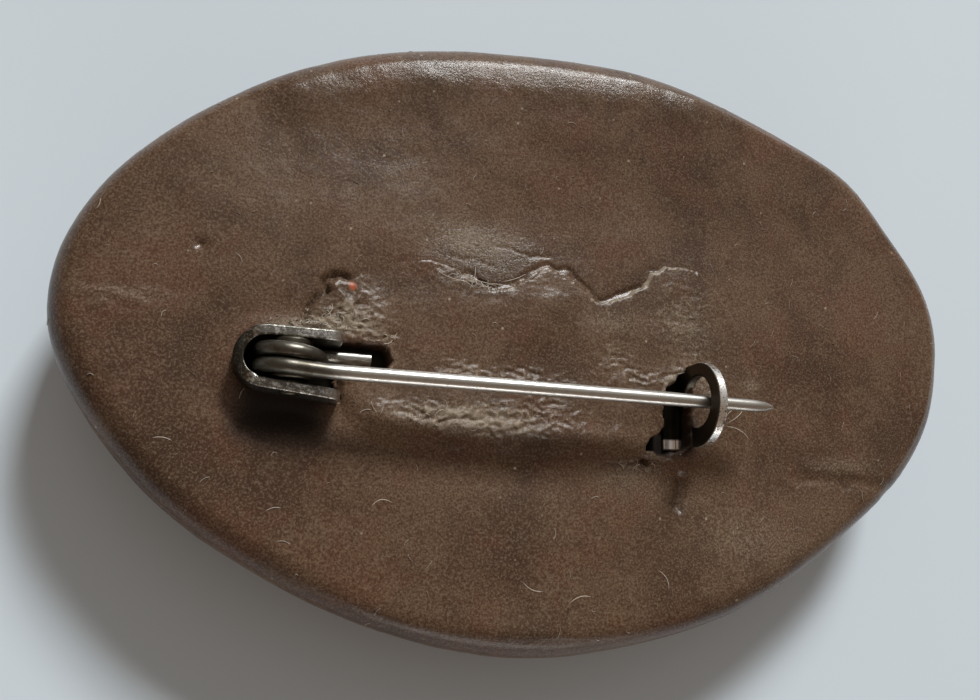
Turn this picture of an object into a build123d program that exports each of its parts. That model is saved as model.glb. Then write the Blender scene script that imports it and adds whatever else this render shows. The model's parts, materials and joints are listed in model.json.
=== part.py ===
from build123d import *
from collections import namedtuple
import math
import os

# Oval brooch of clay lying on its front, its back and its steel pin finding upwards.
# Millimetres and degrees. The origin is under the middle of the oval, on the surface it lies on,
# +X runs along the pin towards its point and +Z is up, away from the flower on the front.

# Clay slab
slab_long = 62.0  # long axis of the oval
slab_wide = 40.8  # short axis of the oval
slab_turn = 3.4  # turn of the long axis from the pin's direction
slab_thick = 5.0
back_round = 2.2  # rounding of the rim at the back
front_round = 1.8  # rounding of the rim at the front
seat_gap = 0.05  # clay to the sides of the steel pressed into it
cut_past = 1.0  # reach of a cut past the face it opens

# Flower on the front
relief = 3.0  # height of petals and centre off the slab
centre_share = 0.113  # radius of the centre, as a share of the slab's short axis
petal_count = 5
petal_first = 18.0  # direction of the first petal
foot_share = 0.05  # radius of a petal's narrow end, as such a share
tip_share = 0.148  # radius of its round outer end
reach_share = 0.45  # middle of the flower to its tip
petal_gap = 0.3  # petals to the centre
petal_round = 1.5
centre_round = 1.6

# Pin finding in the clay
hinge_x = -17.4  # middle of the coil
pin_y = -4.53  # line of the pin
pin_span = 25.93  # middle of the coil to the catch's inner face
sheet = 0.62  # thickness of the stamped strip
bar_depth = 1.15  # top of the bar below the slab's back

# Wire
wire_r = 0.45
coil_r = 1.69  # middle of the wire to the coil's axis
coil_turns = 1.5
turn_gap = 0.02  # between neighbouring turns
coil_gap = 0.1  # coil above the bar
shank_start = 3.2  # coil's axis to where the arm runs straight
shank_end = 22.6  # coil's axis to where the arm starts to thin
taper_end = 28.7  # coil's axis to where the point starts
taper_r = 0.42
taper_mid = 0.72  # share of that radius left halfway along the point
point_reach = 30.78  # coil's axis to the tip of the point
point_r = 0.06  # blunt end of the point
tail_bend_r = 4.0
tail_reach = 4.8  # coil's axis to the tail's end

# Bracket of the hinge
ear_up = 2.02  # inner face of the ear on the +Y side, from the pin's line
ear_low = 0.83  # inner face of the ear on the -Y side, at the open end
ear_reach = 2.9  # coil's axis to the ears' open ends
end_x = -1.42  # centre of the closed end's curve, from the coil's axis
end_r = 1.20  # inner radius of the closed end
ear_drop = 0.8  # top of the ears below the arm's axis
end_drop = 0.4  # top of the closed end below the ears' tops
ear_slope = 0.6  # length of the step from the ears down to the closed end
ear_corner = 0.85
rivet_gap = 0.07  # rivet to the coil
rivet_side_gap = 0.05  # shoulders of the rivet to the ears
rivet_end_r = 0.5  # ends of the rivet in the ears
hole_gap = 0.02  # ends of the rivet to their holes
rivet_proud = 0.05

# Catch
ring_r = 2.77  # outside of the hook
hole_r = 1.7
hole_side = 0.2  # middle of its hole on the +Y side of the pin's line
roof = 1.08  # hook's thickness over the arm
roof_gap = 0.04  # arm under the hook
hook_low = 1.95  # end of the hook below the arm's axis
lip_rise = 0.3  # lower lip above the bar
bend_r = 0.7  # inside of the bend where the strip turns up
foot_step = 0.3  # wide part of the strip before that bend

# Patch of clay over the bar
patch_thick = 0.6
patch_up = 8.6  # reach of the patch above the pin's line
patch_low = 3.4  # reach of the patch below it
patch_start = 0.2  # patch after the ears' open ends
patch_up_start = 0.72  # share of its upper reach where the patch starts
patch_low_start = 0.6  # share of its lower reach where the patch starts
slot_side = 0.33  # slot in the patch to the sides of the wire's tail
slot_gap = 0.6  # end of the slot past the tail's swing
pit_reach = 1.6  # hollow before the catch's inner face
pit_half = 2.6  # half its width
pit_low = 0.55  # its middle below the pin's line
dent_back = 1.83  # deep dent at its lower end, middle before the catch's inner face
dent_low = 2.62  # middle of the dent below the pin's line
dent_long = 1.15  # half its length
dent_wide = 0.65  # half its width

# The oval's true edge: the share of the plain oval's reach at each angle
Reach = namedtuple("Reach", "angle share")
OVAL = [
    Reach(0, 1.010), Reach(16, 1.013), Reach(27, 1.009), Reach(39, 1.028), Reach(48, 1.013),
    Reach(57, 1.003), Reach(75, 1.012), Reach(92, 1.005), Reach(118, 1.015), Reach(145, 1.007),
    Reach(165, 1.014), Reach(180, 1.007), Reach(194, 0.974), Reach(215, 0.950), Reach(232, 0.958),
    Reach(250, 0.995), Reach(268, 1.008), Reach(284, 1.000), Reach(300, 0.975), Reach(316, 0.961),
    Reach(336, 0.985), Reach(350, 1.000),
]

# The patch's edges from left to right: shares of the pin's span, and of the patch's reach
Edge = namedtuple("Edge", "along across")
TORN_EDGE = [
    Edge(0.16, 0.78), Edge(0.24, 0.90), Edge(0.35, 0.94), Edge(0.41, 0.87), Edge(0.47, 0.78),
    Edge(0.52, 0.81), Edge(0.57, 0.91), Edge(0.63, 1.00), Edge(0.67, 0.97), Edge(0.71, 0.89),
    Edge(0.76, 0.78), Edge(0.82, 0.84), Edge(0.88, 0.95), Edge(0.95, 1.13), Edge(1.02, 1.14),
    Edge(1.10, 1.00), Edge(1.18, 0.62), Edge(1.22, 0.20),
]
SMOOTH_EDGE = [
    Edge(0.20, 0.66), Edge(0.45, 0.88), Edge(0.72, 0.95), Edge(0.88, 1.08), Edge(1.00, 1.36),
    Edge(1.12, 1.10), Edge(1.20, 0.45),
]

# Levels and places that follow from the sizes
centre_r = centre_share * slab_wide
petal_foot_r = foot_share * slab_wide
petal_tip_r = tip_share * slab_wide
petal_reach = reach_share * slab_wide
back_z = relief + slab_thick
bar_top = back_z - bar_depth
bar_bottom = bar_top - sheet
coil_z = bar_top + coil_gap + coil_r + wire_r
arm_z = coil_z + coil_r
pitch = 2 * wire_r + turn_gap
lead = math.degrees(math.atan2(pitch, 2 * math.pi * coil_r))
arm_bend_r = shank_start / math.sin(math.radians(lead))
coil_start_y = arm_bend_r * (1 - math.cos(math.radians(lead)))
tail_y = coil_start_y + coil_turns * pitch + tail_bend_r * (1 - math.cos(math.radians(lead)))
ear_top = arm_z - ear_drop
hole_z = arm_z + wire_r + roof_gap - hole_r
ring_z = hole_z + hole_r + roof - ring_r
catch_start = pin_span - bend_r - foot_step
end_y = ear_up - end_r
ear_side = math.atan2(-ear_low - end_y, ear_reach - end_x) - math.acos(
    end_r / math.hypot(ear_reach - end_x, ear_low + end_y)
)
at_hinge = Pos(hinge_x, pin_y, 0)


def oval_face():
    """The oval's outline, with the middle of its box on the origin."""
    turn = math.radians(slab_turn)
    points = []
    for row in OVAL:
        angle = math.radians(row.angle)
        u = row.share * slab_long / 2 * math.cos(angle)
        v = row.share * slab_wide / 2 * math.sin(angle)
        points.append((u * math.cos(turn) - v * math.sin(turn), u * math.sin(turn) + v * math.cos(turn)))
    face = make_face(Spline(*points, periodic=True))
    middle = face.bounding_box().center()
    return Pos(-middle.X, -middle.Y) * face


def low_ear_y(x, grow):
    """Face of the -Y ear at x, grown outwards from its inner face."""
    touch_x = end_x + (end_r + grow) * math.cos(ear_side)
    touch_y = end_y + (end_r + grow) * math.sin(ear_side)
    return touch_y - (x - touch_x) / math.tan(ear_side)


def bracket_face(grow):
    """Plan of the hinge's bracket, filled, with its inner outline grown outwards."""
    radius = end_r + grow
    touch_x = end_x + radius * math.cos(ear_side)
    wedge = Polyline(
        (end_x, end_y), (end_x, ear_up + grow), (ear_reach, ear_up + grow),
        (ear_reach, low_ear_y(ear_reach, grow)), (touch_x, low_ear_y(touch_x, grow)), close=True,
    )
    return Pos(end_x, end_y) * Circle(radius) + make_face(wedge)


def corner_box(start, end):
    """Box between two opposite corners."""
    size = [b - a for a, b in zip(start, end)]
    return Pos(*start) * Box(*size, align=(Align.MIN, Align.MIN, Align.MIN))


def pit_solid():
    """The hollow before the catch and the dent beside it, from the bar's top upwards."""
    plan = Pos(pin_span, -pit_low) * Ellipse(pit_reach, pit_half)
    plan &= Pos(pin_span - pit_reach / 2, -pit_low) * Rectangle(pit_reach, 2 * pit_half)
    plan += Pos(pin_span - dent_back, -dent_low) * Ellipse(dent_long, dent_wide)
    return Pos(0, 0, bar_top) * extrude(plan, bar_depth + patch_thick + cut_past)


def foot_box(start):
    """Room in the clay for the catch from start to its outer face, from the bar's underside upwards."""
    side = ring_r + seat_gap
    far = pin_span + sheet + seat_gap
    return corner_box((start - seat_gap, -side, bar_bottom), (far, side, back_z + patch_thick + cut_past))


def bar_box(grow, top):
    """The bar from the bracket to the catch, with its sides grown, from its underside up to top."""
    return corner_box((end_x, -ear_low - sheet - grow, bar_bottom), (pin_span, ear_up + sheet + grow, top))


def hinge_bar(radius, low, high):
    """Round bar along the hinge's axis, from low to high across the bracket."""
    plane = Plane(origin=(0, low, coil_z), x_dir=(1, 0, 0), z_dir=(0, 1, 0))
    return extrude(plane * Circle(radius), high - low)


def clay_backing():
    slab = extrude(oval_face(), slab_thick)
    slab = fillet(slab.edges().group_by(Axis.Z)[-1], back_round)
    slab = fillet(slab.edges().group_by(Axis.Z)[0], front_round)
    hollow = bar_box(seat_gap, back_z + cut_past) + foot_box(catch_start) + pit_solid()
    bracket_room = bracket_face(sheet + seat_gap)
    hollow += Pos(0, 0, bar_bottom) * extrude(bracket_room, back_z - bar_bottom + cut_past)
    return Pos(0, 0, relief) * slab - at_hinge * hollow


def clay_patch():
    start = ear_reach + patch_start
    torn = [(row.along * pin_span, row.across * patch_up) for row in TORN_EDGE]
    smooth = [(row.along * pin_span, -row.across * patch_low) for row in reversed(SMOOTH_EDGE)]
    first = (start, patch_up_start * patch_up)
    last = (start, -patch_low_start * patch_low)
    rim = Spline(first, *torn, *smooth, last)
    patch = Pos(0, 0, back_z) * extrude(make_face([rim, Line(last, first)]), patch_thick)
    keel = corner_box((start, -ear_low - sheet, bar_top), (pin_span - bend_r, ear_up + sheet, back_z))
    slot_end = math.hypot(tail_reach, coil_r + wire_r) + slot_gap
    slot_half = wire_r + slot_side
    slot = corner_box(
        (start - cut_past, tail_y - slot_half, bar_top),
        (slot_end, tail_y + slot_half, back_z + patch_thick + cut_past),
    )
    return at_hinge * (patch + keel - slot - pit_solid() - foot_box(pin_span))


def bracket():
    """The ears and the closed end that joins them, standing on the bar."""
    foot = Pos(0, 0, bar_bottom) * extrude(bracket_face(sheet), sheet)
    walls = extrude(bracket_face(sheet), ear_top - bar_top) - extrude(bracket_face(0), ear_top - bar_top)
    left = end_x - end_r - sheet
    side = make_face(Polyline(
        (left, bar_top), (ear_reach, bar_top), (ear_reach, ear_top), (end_x - ear_slope, ear_top),
        (end_x - 2 * ear_slope, ear_top - end_drop), (left, ear_top - end_drop), close=True,
    ))
    corner = side.vertices().sort_by_distance((ear_reach, ear_top, 0))[0]
    side = fillet(corner, ear_corner)
    mask = extrude(Plane.XZ * side, ear_up + sheet + cut_past, both=True)
    return foot + (Pos(0, 0, bar_top) * walls & mask)


def catch():
    """The strip's end bent up into a plate, and cut to the hook and the lip under its mouth."""
    far = pin_span + sheet
    start = catch_start
    top = ring_z + ring_r + cut_past
    strip = make_face(Polyline(
        (start, bar_bottom), (far, bar_bottom), (far, top), (pin_span, top), (pin_span, bar_top),
        (start, bar_top), close=True,
    ))
    strip = fillet(strip.vertices().sort_by_distance((far, bar_bottom, 0))[0], bend_r + sheet)
    strip = fillet(strip.vertices().sort_by_distance((pin_span, bar_top, 0))[0], bend_r)
    bent = extrude(Plane.XZ * strip, ring_r + cut_past, both=True)
    column = Pos(0, (bar_bottom + ring_z) / 2) * Rectangle(2 * ring_r, ring_z - bar_bottom)
    front = Pos(0, ring_z) * Circle(ring_r) + column - Pos(hole_side, hole_z) * Circle(hole_r)
    mouth_top = arm_z - hook_low
    mouth_low = bar_top + lip_rise
    front -= Pos(-ring_r, (mouth_top + mouth_low) / 2) * Rectangle(2 * ring_r, mouth_top - mouth_low)
    return bent & extrude(Plane.YZ.offset(start) * front, far - start)


def pin_base():
    base = bar_box(0, bar_top) + bracket() + catch()
    side = ear_up + sheet + cut_past
    base -= hinge_bar(rivet_end_r + hole_gap, -side, side)
    return at_hinge * base


def hinge_rivet():
    shoulder_r = coil_r - wire_r - rivet_gap
    shoulder = hinge_bar(shoulder_r, low_ear_y(-shoulder_r, 0) + rivet_side_gap, ear_up - rivet_side_gap)
    low_end = low_ear_y(rivet_end_r, sheet) - rivet_proud
    return at_hinge * (shoulder + hinge_bar(rivet_end_r, low_end, ear_up + sheet + rivet_proud))


def swept(path):
    return sweep(Plane(origin=path @ 0, z_dir=path % 0) * Circle(wire_r), path=path)


def pin_wire():
    along = Plane(origin=(shank_start, 0, arm_z), x_dir=(0, 1, 0), z_dir=(1, 0, 0))
    shank = extrude(along * Circle(wire_r), shank_end - shank_start)
    arm_bend = Pos(0, 0, arm_z) * JernArc((shank_start, 0), (-1, 0), arm_bend_r, -lead)
    turns = Plane(origin=(0, coil_start_y, coil_z), x_dir=(0, 0, 1), z_dir=(0, 1, 0)) * Helix(
        pitch, coil_turns * pitch, coil_r, lefthand=True
    )
    low_z = coil_z - coil_r
    tail_x = tail_bend_r * math.sin(math.radians(lead))
    tail_bend = Pos(0, 0, low_z) * JernArc((tail_x, tail_y), (-1, 0), tail_bend_r, lead)
    straight = Line((tail_x, tail_y, low_z), (tail_reach, tail_y, low_z))
    halfway = ((taper_end + point_reach) / 2, taper_mid * taper_r)
    rim = Spline((taper_end, taper_r), halfway, (point_reach, point_r))
    outline = Polyline(
        (point_reach, point_r), (point_reach, 0), (shank_end, 0), (shank_end, wire_r), (taper_end, taper_r)
    )
    point = Pos(0, 0, arm_z) * revolve(make_face([rim, outline]), Axis.X)
    wire = shank + swept(arm_bend) + swept(turns) + swept(tail_bend) + swept(straight) + point
    return at_hinge * wire


def flower_centre():
    disc = extrude(Circle(centre_r), relief)
    return fillet(disc.edges().group_by(Axis.Z)[0], centre_round)


def petal(number):
    foot_x = centre_r + petal_gap + petal_foot_r
    tip_x = petal_reach - petal_tip_r
    lean = math.acos((petal_tip_r - petal_foot_r) / (tip_x - foot_x))
    foot = (foot_x - petal_foot_r * math.cos(lean), petal_foot_r * math.sin(lean))
    tip = (tip_x - petal_tip_r * math.cos(lean), petal_tip_r * math.sin(lean))
    plan = make_face(Polyline(foot, tip, (tip[0], -tip[1]), (foot[0], -foot[1]), close=True))
    plan += Pos(foot_x, 0) * Circle(petal_foot_r) + Pos(tip_x, 0) * Circle(petal_tip_r)
    solid = extrude(plan, relief)
    solid = fillet(solid.edges().group_by(Axis.Z)[0], petal_round)
    return Rot(0, 0, petal_first + number * 360 / petal_count) * solid


os.makedirs("parts", exist_ok=True)
export_step(clay_backing(), "parts/clay_backing.step")
export_step(clay_patch(), "parts/clay_patch.step")
export_step(pin_base(), "parts/pin_base.step")
export_step(hinge_rivet(), "parts/hinge_rivet.step")
export_step(pin_wire(), "parts/pin_wire.step")
export_step(flower_centre(), "parts/flower_centre.step")
for number in range(petal_count):
    export_step(petal(number), f"parts/petal_{number + 1}.step")
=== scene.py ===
import json
import math
from collections import namedtuple

import bmesh
import bpy
import numpy as np
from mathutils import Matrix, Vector
from mathutils.bvhtree import BVHTree


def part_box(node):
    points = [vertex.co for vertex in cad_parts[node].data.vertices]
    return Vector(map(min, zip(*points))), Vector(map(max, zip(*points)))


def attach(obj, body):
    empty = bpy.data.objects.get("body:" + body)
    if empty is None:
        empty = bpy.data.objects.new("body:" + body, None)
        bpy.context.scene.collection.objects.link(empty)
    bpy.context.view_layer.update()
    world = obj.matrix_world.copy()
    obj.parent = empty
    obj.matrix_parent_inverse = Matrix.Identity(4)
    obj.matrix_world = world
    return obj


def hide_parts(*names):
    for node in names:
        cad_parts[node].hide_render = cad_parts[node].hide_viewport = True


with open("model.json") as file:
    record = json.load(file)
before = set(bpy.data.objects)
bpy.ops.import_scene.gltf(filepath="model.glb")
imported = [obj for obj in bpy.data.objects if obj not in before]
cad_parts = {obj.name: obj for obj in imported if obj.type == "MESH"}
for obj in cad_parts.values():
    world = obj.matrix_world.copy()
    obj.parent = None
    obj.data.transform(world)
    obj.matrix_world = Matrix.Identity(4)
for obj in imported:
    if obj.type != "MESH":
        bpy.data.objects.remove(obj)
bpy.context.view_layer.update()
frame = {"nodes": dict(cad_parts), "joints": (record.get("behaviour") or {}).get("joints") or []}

bl_info = {
    "name": "Flower brooch",
    "version": (1, 0, 0),
    "blender": (4, 5, 0),
    "location": "3D Viewport > Sidebar > Brooch",
    "description": "Clay, steel pin finding and flower of an oval brooch seen from its back",
    "category": "Add Mesh",
}


def rows(kind, *values):
    return [kind(*value) for value in values]


# Lengths here are in millimetres. Levels count from the floor. Places in the tables lie on the clay's back
# and count from the middle of the hinge, with x along the pin.
MM = 0.001
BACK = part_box("clay_backing")[1].z / MM
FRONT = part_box("clay_backing")[0].z / MM
PIVOT = np.array(frame["joints"][0]["pos_m"]) / MM
HINGE = PIVOT[:2]
BAR_LEVEL = 6.6  # inside the steel bar's thickness
GROOVE_LEVEL = 6.45
CATCH_FACE = HINGE[0] + 25.93  # the catch's side towards the hinge
RING_LEVEL = 9.58  # middle of the catch's ring
ARM_LEVEL = PIVOT[2] + 1.69  # middle of the wire's arm
POINT_LONG = 2.08
POINT_R = 0.42  # where the wire's point starts
BLUNT_R = 0.13  # where it ends
PIT_CORNER = (24.35, -1.3)  # from the middle of the hinge
PIT_DEPTH = 0.9
SPECK = HINGE + (3.34, 5.86)
HAIR_LEVEL = BACK + 0.36  # just over the clay cover
PETAL_FIRST = 18  # degrees round from the X axis
PETAL_STEP = 72
PETAL_MIDDLE = 12.2  # from the flower's middle

Rim = namedtuple("Rim", "x y lip slope pale")
COVER_RIM = rows(
    Rim,
    (3.1, 2.6, 0.25, 0.5, 0.3), (0.6, 2.6, 0.1, 1.6, 0.6), (0.7, 3.8, 0.12, 2.0, 0.6),
    (1.1, 4.7, 0.15, 2.5, 0.4), (2.0, 5.4, 0.2, 3.0, 0.3), (1.7, 6.0, 0.2, 3.5, 0.3),
    (2.4, 6.5, 0.15, 4.0, 0.3), (3.0, 6.2, 0.06, 4.0, 0.2), (4.5, 7.0, 0.0, 4.5, 0.1),
    (6.2, 7.8, 0.0, 5.0, 0.0), (7.8, 8.2, 0.02, 5.0, 0.1), (9.1, 8.1, 0.08, 4.0, 0.5),
    (10.7, 7.5, 0.14, 3.5, 0.7), (12.1, 6.7, 0.14, 3.5, 0.7), (13.4, 7.0, 0.13, 3.5, 0.7),
    (14.8, 7.8, 0.12, 3.5, 0.6), (16.2, 8.7, 0.12, 4.0, 0.6), (17.2, 8.4, 0.12, 4.0, 0.4),
    (18.3, 7.7, 0.16, 4.0, 0.6), (19.7, 6.5, 0.2, 4.0, 1.0), (21.2, 7.1, 0.22, 4.0, 1.0),
    (23.1, 8.1, 0.22, 4.0, 1.0), (23.6, 9.1, 0.2, 4.0, 1.0), (24.6, 9.8, 0.18, 4.0, 1.0),
    (26.5, 9.9, 0.14, 4.0, 0.8), (27.7, 9.4, 0.1, 4.0, 0.5), (29.0, 8.0, 0.08, 4.0, 0.5),
    (30.7, 5.1, 0.08, 4.0, 0.5), (31.5, 3.4, 0.04, 4.0, 0.3), (32.0, 1.2, 0.0, 3.5, 0.0),
    (31.6, -0.9, 0.0, 3.5, 0.0), (30.2, -2.8, 0.0, 3.0, 0.0), (28.0, -4.1, 0.0, 2.4, 0.0),
    (25.9, -4.9, 0.0, 1.8, 0.0), (24.2, -4.5, 0.04, 1.2, 0.2), (22.8, -4.3, 0.05, 1.5, 0.2),
    (19.7, -4.6, 0.0, 2.0, 0.0), (15.6, -4.7, 0.0, 2.0, 0.0), (11.7, -4.6, 0.0, 2.0, 0.0),
    (8.6, -4.3, 0.0, 2.0, 0.0), (5.5, -3.7, 0.0, 1.8, 0.0), (3.9, -2.9, 0.0, 1.6, 0.0),
    (3.1, -1.9, 0.0, 1.2, 0.0), (3.1, 0.4, 0.3, 0.3, 0.1),
)

# Plans of the slab's room for the finding, the hollow round the catch, and the cover's slot for the tail
ROOM = [
    (26.2, 2.33), (-1.42, 2.33), (-2.0, 2.21), (-2.49, 1.89), (-2.82, 1.4), (-2.93, 0.82), (-2.82, 0.24),
    (-2.49, -0.25), (-2.0, -0.56), (-1.57, -0.68), (2.9, -1.14), (26.2, -1.14),
]
HOLLOW = [
    (26.25, 2.5), (25.5, 2.0), (24.85, 1.5), (24.45, 0.9), (24.35, 0.2), (24.24, -0.92), (24.18, -1.66),
    (23.94, -2.0), (23.44, -2.24), (23.03, -2.55), (22.94, -2.79), (23.25, -2.98), (23.83, -3.25),
    (24.4, -3.3), (24.9, -3.2), (25.5, -2.95), (26.25, -2.75),
]
TAIL_SLOT = [(2.0, 0.72), (5.3, 0.72), (5.75, 0.95), (5.9, 1.5), (5.75, 2.1), (5.3, 2.33), (2.0, 2.33)]

Crease = namedtuple("Crease", "height width path")
CREASES = rows(
    Crease,
    (-0.4, 0.2, [(0.55, 3.5), (0.7, 4.1), (1.05, 4.8), (1.8, 5.45), (1.65, 6.0), (2.4, 6.6), (3.0, 6.3)]),
    (-0.09, 0.12, [(-11.4, 4.4), (-10.2, 4.5), (-8.9, 4.1), (-7.4, 3.8)]),
    (-0.08, 0.12, [(-11.8, 3.6), (-10.4, 3.8), (-9.0, 3.3), (-7.9, 3.1)]),
    (-0.06, 0.1, [(-10.4, 4.9), (-9.0, 4.7), (-7.8, 4.8), (-6.4, 4.5)]),
    (-0.14, 0.16, [(14.6, 8.0), (16.1, 8.95), (17.4, 8.7), (18.6, 7.85), (19.8, 6.8), (21.0, 7.3),
        (22.8, 8.2)]),
    (-0.06, 0.14, [(22.8, 8.2), (23.4, 9.3), (24.6, 10.05)]), (-0.1, 0.1, [(31.4, 4.3), (31.35, 3.0)]),
    (-0.05, 0.12, [(12.6, 9.9), (14.6, 9.4), (16.0, 9.6)]),
    (-0.05, 0.1, [(9.6, 8.8), (11.4, 8.4), (12.4, 8.6)]),
    (-0.05, 0.12, [(20.6, 3.0), (22.0, 2.4), (23.4, 2.1)]),
    (-0.05, 0.1, [(12.6, 1.1), (14.0, 1.7), (15.6, 1.5)]),
    (-0.08, 0.12, [(6.5, -1.6), (9.5, -2.0), (12.0, -1.7)]),
    (-0.08, 0.1, [(10.5, -2.9), (13.5, -2.3), (16.5, -2.7)]),
    (-0.06, 0.1, [(3.8, 3.3), (5.2, 3.0), (6.4, 3.0)]), (-0.06, 0.12, [(22.4, -3.3), (23.2, -3.6)]),
    (-0.1, 0.14, [(10.6, 7.7), (12.2, 6.9), (13.4, 7.2), (14.6, 8.0)]),
    (-0.18, 0.5, [(34.6, -4.1), (38.7, -4.4), (42.5, -4.6)]),
    (0.16, 1.4, [(-0.7, 18.1), (5.5, 20.3), (11.0, 21.6), (16.7, 22.1), (22.9, 22.4), (26.9, 21.8)]),
    (-0.4, 0.5, [(25.5, -4.6), (25.5, -5.4), (25.3, -6.3)]),
    (-0.08, 0.1, [(19.4, -3.9), (20.8, -4.1), (22.2, -3.8)]),
    (0.16, 0.8, [(5.5, -2.0), (9.0, -2.6), (13.0, -2.9), (17.0, -2.8), (20.5, -2.5)]),
)
Dent = namedtuple("Dent", "x y long wide turn depth")
DENTS = rows(
    Dent,
    (-5.6, 7.5, 0.3, 0.22, 20, 0.3), (22.9, -3.75, 0.3, 0.22, -20, 0.7), (14.0, 2.2, 8.0, 2.6, 3, 0.45),
    (15.0, 14.5, 15.0, 5.0, 0, 0.3), (11.0, -4.7, 9.0, 1.2, -2, 0.2), (0.2, -2.0, 2.4, 1.3, -6, 0.5),
    (36.0, 10.0, 5.0, 3.0, 30, 0.2), (-6.0, -6.0, 5.0, 3.0, -20, 0.15),
)
Spot = namedtuple("Spot", "x y long wide amount")
ROUGH_SPOTS = rows(
    Spot,
    (9.0, -1.7, 3.6, 0.8, 1.0), (12.8, -2.4, 3.4, 0.9, 1.0), (15.8, -1.0, 3.0, 1.0, 0.7),
    (2.0, 3.4, 1.6, 0.8, 1.0), (10.0, 1.0, 1.8, 0.8, 0.8), (11.5, 8.8, 3.4, 1.3, 1.0),
    (22.4, 1.7, 1.8, 0.7, 0.8), (27.6, 2.0, 1.4, 1.4, 0.6), (19.0, -5.0, 3.0, 1.2, 0.4),
    (3.4, 5.0, 1.4, 1.0, 0.5), (-0.3, 2.9, 2.2, 0.35, 1.0), (2.0, 19.5, 4.0, 1.2, 0.5),
    (9.0, 21.3, 4.5, 1.1, 0.6), (16.0, 22.2, 4.5, 1.0, 0.6), (23.0, 22.4, 4.5, 1.0, 0.6),
    (20.4, 3.0, 1.6, 0.9, 0.6), (14.0, 1.2, 3.4, 0.8, 0.7), (3.4, 3.9, 1.8, 0.9, 1.0),
    (5.2, 2.9, 1.2, 0.4, 1.0), (11.2, 10.3, 3.4, 1.2, 0.7), (-9.0, 4.2, 3.4, 0.7, 0.7),
    (26.0, 5.6, 2.4, 2.6, 0.35), (22.6, -4.2, 2.0, 0.7, 0.7), (25.2, 1.9, 0.9, 0.7, 1.0),
)
# Pale patches on the back: scuffs, and painted sheen on places that face the light.
SCUFF_AND_SHEEN_SPOTS = rows(
    Spot,
    (26.0, 6.0, 3.6, 3.2, 0.6), (20.5, 5.4, 2.6, 1.2, 0.9), (27.0, 1.5, 2.0, 2.0, 0.5),
    (-9.5, 4.2, 3.0, 0.6, 0.5), (-2.0, 12.0, 6.0, 4.0, 0.3), (31.0, -8.5, 7.0, 3.0, 0.8),
    (13.0, -7.0, 10.0, 1.6, 0.3), (38.0, -3.2, 4.0, 0.9, 0.9), (10.5, -1.6, 5.0, 1.4, 0.7),
    (13.0, -20.0, 14.0, 1.6, 0.5), (11.4, 10.2, 3.2, 1.3, 0.5), (24.5, -5.6, 3.0, 1.0, 0.4),
    (0.6, 3.3, 2.8, 0.45, 1.0), (3.6, 3.6, 1.6, 0.6, 0.9), (31.0, 1.9, 0.9, 0.9, 1.0),
    (21.4, -4.9, 2.2, 0.7, 0.6), (6.4, 10.9, 3.0, 1.4, 0.4), (15.0, -13.9, 3.0, 0.8, 0.5),
)
FRAYED_SPOTS = rows(
    Spot,
    (0.3, 3.3, 2.4, 0.28, 1.0), (3.0, 3.7, 1.3, 0.6, 0.8), (5.7, 2.9, 0.6, 0.3, 0.6),
    (11.5, 7.1, 2.0, 0.4, 0.9), (8.0, -1.9, 3.6, 0.5, 0.3), (25.0, 1.7, 0.8, 0.4, 0.6),
    (22.6, -3.9, 1.2, 0.4, 0.3),
)

# Longer hairs caught in the clay, from end to end, with the sideways reach and rise of their middle
Hair = namedtuple("Hair", "x y end_x end_y side rise")
HAIRS = rows(
    Hair,
    (11.0, 8.0, 10.6, 6.3, 0.1, 0.2), (8.6, 7.4, 10.5, 7.0, -0.2, 0.15),
    (11.2, 6.6, 13.2, 6.9, 0.2, 0.1), (10.2, 7.3, 12.4, 6.9, -0.1, 0.2),
    (12.8, 7.2, 14.4, 7.9, -0.1, 0.1), (9.6, 6.9, 11.0, 6.5, 0.2, 0.1),
    (30.3, 0.4, 28.9, -0.9, 0.1, 0.3), (29.9, 0.1, 28.7, -0.7, -0.3, 0.2),
    (28.9, -1.1, 30.6, -1.9, 0.2, 0.1), (5.2, -7.3, 6.4, -7.0, 0.3, 0.05),
    (17.6, -12.6, 19.0, -12.2, 0.2, 0.05), (-7.0, -4.0, -6.0, -4.1, 0.1, 0.05),
    (14.6, -11.4, 15.9, -11.9, -0.2, 0.05), (23.7, -10.6, 24.3, -11.8, 0.2, 0.05),
    (0.6, 3.3, 2.4, 3.0, 0.2, 0.1),
)


def length(name, description, default):
    """A size in the panel, given in millimetres."""
    return bpy.props.FloatProperty(
        name=name, description=description, default=default * MM, precision=6, unit="LENGTH"
    )


def colour(name, description, default):
    return bpy.props.FloatVectorProperty(
        name=name, description=description, default=default, min=0.0, max=1.0, size=3, subtype="COLOR"
    )


def count(name, description, default):
    return bpy.props.IntProperty(name=name, description=description, default=default, min=0)


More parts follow.
